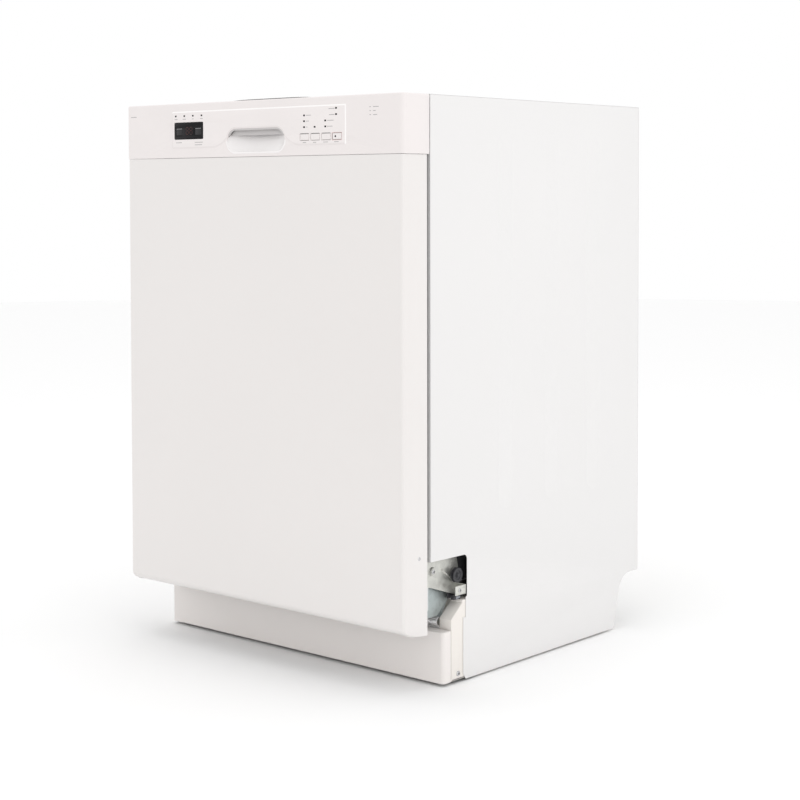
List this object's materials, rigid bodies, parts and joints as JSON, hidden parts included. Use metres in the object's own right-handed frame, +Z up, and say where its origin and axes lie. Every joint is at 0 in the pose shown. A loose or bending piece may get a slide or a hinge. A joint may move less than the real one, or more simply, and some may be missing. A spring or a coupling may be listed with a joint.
{
  "type": "built-in dishwasher",
  "caption": "Built-in dishwasher with a white enamel front, scooped handle pocket, top control strip, drop-down door, sliding wire racks, spray arms and a recessed toe panel.",
  "frame": {"origin": "on the floor under the middle of the machine", "axes": "+X to the machine's right as seen from the front, +Y from the door to the back, +Z up"},
  "size_m": [0.597, 0.616, 0.8738],
  "materials": {
    "white_steel": "smooth white baked enamel",
    "white_plastic": "satin white moulded plastic",
    "display_glass": "gloss black lens",
    "tub_steel": "fine brushed stainless steel",
    "galvanised": "zinc-plated sheet",
    "rubber": "matt black rubber",
    "felt": "pressed felt",
    "cream_plastic": "matt cream moulded plastic",
    "pump_plastic": "dark moulded plastic",
    "pale_plastic": "natural white moulded plastic",
    "grey_plastic": "grey moulded plastic",
    "rack_vinyl": "grey vinyl-coated wire",
    "tine_vinyl": "blue-grey vinyl-coated wire",
    "screw_steel": "bright plated steel",
    "spring_steel": "oiled spring steel",
    "heater_steel": "heat-tinted tube",
    "latch_grey": "matt grey moulded plastic",
    "circuit": "lacquered circuit board",
    "cap_blue": "blue moulded plastic",
    "kick_paint": "white enamel"
  },
  "bodies": {
    "cabinet": {"side_panel_left": "white_steel", "side_panel_right": "white_steel", "tub": "tub_steel", "tub_gasket": "rubber", "cross_braces": "galvanised", "latch_strike": "screw_steel", "sound_blanket": "felt", "base_pan": "cream_plastic", "kickplate": "kick_paint", "front_cross_member": "galvanised", "hinge_plates": "galvanised", "hinge_pins": "screw_steel", "door_springs": "spring_steel", "junction_box": "pump_plastic", "inlet_valve": "pale_plastic", "drain_pump": "pump_plastic", "wash_pump": "pump_plastic", "sump": "pale_plastic", "filter_plate": "tub_steel", "heater": "heater_steel", "water_column": "pale_plastic", "cabinet_screws": "screw_steel"},
    "door": {"door_outer_panel": "white_steel", "door_liner": "tub_steel", "control_panel": "white_plastic", "display_window": "display_glass", "handle_pocket": "white_plastic", "control_board": "circuit", "dispenser_body": "grey_plastic", "hinge_arms": "galvanised", "door_screws": "screw_steel", "top_seal_strip": "rubber"},
    "cable_pulleys": {"cable_pulleys": "pump_plastic"},
    "fine_filter": {"fine_filter": "grey_plastic"},
    "float": {"float": "pale_plastic"},
    "lower_spray_arm": {"lower_spray_arm": "grey_plastic"},
    "top_spray_arm": {"top_spray_arm": "grey_plastic"},
    "front_foot_left": {"front_foot_left": "rubber"},
    "front_foot_right": {"front_foot_right": "rubber"},
    "rear_feet": {"rear_feet": "rubber"},
    "rail_rollers": {"rail_rollers": "grey_plastic"},
    "latch_lever": {"latch_lever": "latch_grey"},
    "button_1": {"button_1": "white_plastic"},
    "button_2": {"button_2": "white_plastic"},
    "button_3": {"button_3": "white_plastic"},
    "button_4": {"button_4": "white_plastic"},
    "key_power": {"key_power": "display_glass"},
    "key_delay": {"key_delay": "display_glass"},
    "detergent_lid": {"detergent_lid": "grey_plastic"},
    "rinse_cap": {"rinse_cap": "cap_blue"},
    "upper_rails": {"upper_rails": "galvanised"},
    "upper_rack": {"upper_rack": "rack_vinyl"},
    "upper_rack_wheels": {"upper_rack_wheels": "grey_plastic"},
    "upper_spray_arm": {"upper_spray_arm": "grey_plastic"},
    "cup_shelf": {"cup_shelf": "rack_vinyl"},
    "lower_rack": {"lower_rack": "rack_vinyl"},
    "lower_wheels_front": {"lower_wheels_front": "grey_plastic"},
    "lower_wheels_rear": {"lower_wheels_rear": "grey_plastic"},
    "fold_tines": {"fold_tines": "tine_vinyl"},
    "cutlery_basket": {"cutlery_basket": "grey_plastic"}
  },
  "joints": [
    {"name": "door_hinge", "type": "hinge", "parent": "cabinet", "child": "door", "pos_m": [0, -0.262, 0.118], "axis": [1, 0, 0], "range_deg": [0, 90], "stiffness_Nm_per_rad": 14, "springref_deg": -8.59, "deforming": ["door_springs"]},
    {"name": "lower_rack_slide", "type": "slide", "parent": "cabinet", "child": "lower_rack", "axis": [0, -1, 0], "range_m": [0, 0.5]},
    {"name": "lower_front_wheels_roll", "type": "hinge", "parent": "lower_rack", "child": "lower_wheels_front", "pos_m": [0, -0.128, 0.15], "axis": [1, 0, 0], "continuous": true},
    {"name": "lower_rear_wheels_roll", "type": "hinge", "parent": "lower_rack", "child": "lower_wheels_rear", "pos_m": [0, 0.18, 0.15], "axis": [1, 0, 0], "continuous": true},
    {"name": "upper_rails_slide", "type": "slide", "parent": "cabinet", "child": "upper_rails", "axis": [0, -1, 0], "range_m": [0, 0.25]},
    {"name": "upper_rack_slide", "type": "slide", "parent": "upper_rails", "child": "upper_rack", "axis": [0, -1, 0], "range_m": [0, 0.25]},
    {"name": "rail_rollers_roll", "type": "hinge", "parent": "cabinet", "child": "rail_rollers", "pos_m": [0, -0.19, 0.516], "axis": [1, 0, 0], "continuous": true},
    {"name": "upper_rack_wheels_roll", "type": "hinge", "parent": "upper_rack", "child": "upper_rack_wheels", "pos_m": [0, 0.2, 0.516], "axis": [1, 0, 0], "continuous": true},
    {"name": "cable_pulleys_turn", "type": "hinge", "parent": "cabinet", "child": "cable_pulleys", "pos_m": [0, -0.178, 0.16], "axis": [1, 0, 0], "continuous": true},
    {"name": "latch_lever_pivot", "type": "hinge", "parent": "door", "child": "latch_lever", "pos_m": [0, -0.294, 0.832], "axis": [-1, 0, 0], "range_deg": [0, 12], "stiffness_Nm_per_rad": 0.6, "springref_deg": -8.59},
    {"name": "button_1_press", "type": "slide", "parent": "door", "child": "button_1", "axis": [0, 1, 0], "range_m": [0, 0.0015], "stiffness_N_per_m": 600, "springref_m": -0.001},
    {"name": "button_2_press", "type": "slide", "parent": "door", "child": "button_2", "axis": [0, 1, 0], "range_m": [0, 0.0015], "stiffness_N_per_m": 600, "springref_m": -0.001},
    {"name": "button_3_press", "type": "slide", "parent": "door", "child": "button_3", "axis": [0, 1, 0], "range_m": [0, 0.0015], "stiffness_N_per_m": 600, "springref_m": -0.001},
    {"name": "button_4_press", "type": "slide", "parent": "door", "child": "button_4", "axis": [0, 1, 0], "range_m": [0, 0.0015], "stiffness_N_per_m": 600, "springref_m": -0.001},
    {"name": "key_power_press", "type": "slide", "parent": "door", "child": "key_power", "axis": [0, 1, 0], "range_m": [0, 0.0015], "stiffness_N_per_m": 600, "springref_m": -0.001},
    {"name": "key_delay_press", "type": "slide", "parent": "door", "child": "key_delay", "axis": [0, 1, 0], "range_m": [0, 0.0015], "stiffness_N_per_m": 600, "springref_m": -0.001},
    {"name": "detergent_lid_slide", "type": "slide", "parent": "door", "child": "detergent_lid", "axis": [1, 0, 0], "range_m": [0, 0.071]},
    {"name": "rinse_cap_turn", "type": "hinge", "parent": "door", "child": "rinse_cap", "pos_m": [0.046, -0.256, 0.372], "axis": [0, 1, 0], "range_deg": [0, 90]},
    {"name": "lower_spray_spin", "type": "hinge", "parent": "cabinet", "child": "lower_spray_arm", "pos_m": [0, 0.02, 0.155], "axis": [0, 0, 1], "continuous": true},
    {"name": "top_spray_spin", "type": "hinge", "parent": "cabinet", "child": "top_spray_arm", "pos_m": [0, 0.02, 0.805], "axis": [0, 0, 1], "continuous": true},
    {"name": "upper_spray_spin", "type": "hinge", "parent": "upper_rack", "child": "upper_spray_arm", "pos_m": [0, 0.02, 0.42], "axis": [0, 0, 1], "continuous": true},
    {"name": "fine_filter_twist", "type": "hinge", "parent": "cabinet", "child": "fine_filter", "pos_m": [0, -0.046, 0.12], "axis": [0, 0, 1], "range_deg": [0, 45]},
    {"name": "float_lift", "type": "slide", "parent": "cabinet", "child": "float", "axis": [0, 0, 1], "range_m": [0, 0.012]},
    {"name": "fold_tines_pivot", "type": "hinge", "parent": "lower_rack", "child": "fold_tines", "pos_m": [0, 0.15, 0.179], "axis": [1, 0, 0], "range_deg": [0, 85]},
    {"name": "cutlery_basket_lift", "type": "slide", "parent": "lower_rack", "child": "cutlery_basket", "axis": [0, 0, 1], "range_m": [0, 0.1]},
    {"name": "cup_shelf_pivot", "type": "hinge", "parent": "upper_rack", "child": "cup_shelf", "pos_m": [0.232, 0, 0.547], "axis": [0, 1, 0], "range_deg": [0, 88]},
    {"name": "front_foot_left_screw", "type": "slide", "parent": "cabinet", "child": "front_foot_left", "axis": [0, 0, -1], "range_m": [0, 0.035]},
    {"name": "front_foot_right_screw", "type": "slide", "parent": "cabinet", "child": "front_foot_right", "axis": [0, 0, -1], "range_m": [0, 0.035]},
    {"name": "rear_feet_screw", "type": "slide", "parent": "cabinet", "child": "rear_feet", "axis": [0, 0, -1], "range_m": [0, 0.035]}
  ],
  "couplings": [
    {"joint": "lower_rack_slide", "follows": "door_hinge", "m_per_rad": 0.08},
    {"joint": "lower_front_wheels_roll", "follows": "door_hinge", "ratio": 4.4693},
    {"joint": "lower_rear_wheels_roll", "follows": "door_hinge", "ratio": 4.4693},
    {"joint": "upper_rails_slide", "follows": "door_hinge", "m_per_rad": 0.14},
    {"joint": "upper_rack_slide", "follows": "door_hinge", "m_per_rad": 0.14},
    {"joint": "rail_rollers_roll", "follows": "door_hinge", "ratio": 15.556},
    {"joint": "upper_rack_wheels_roll", "follows": "door_hinge", "ratio": 15.556},
    {"joint": "cable_pulleys_turn", "follows": "door_hinge", "ratio": -2.4}
  ]
}
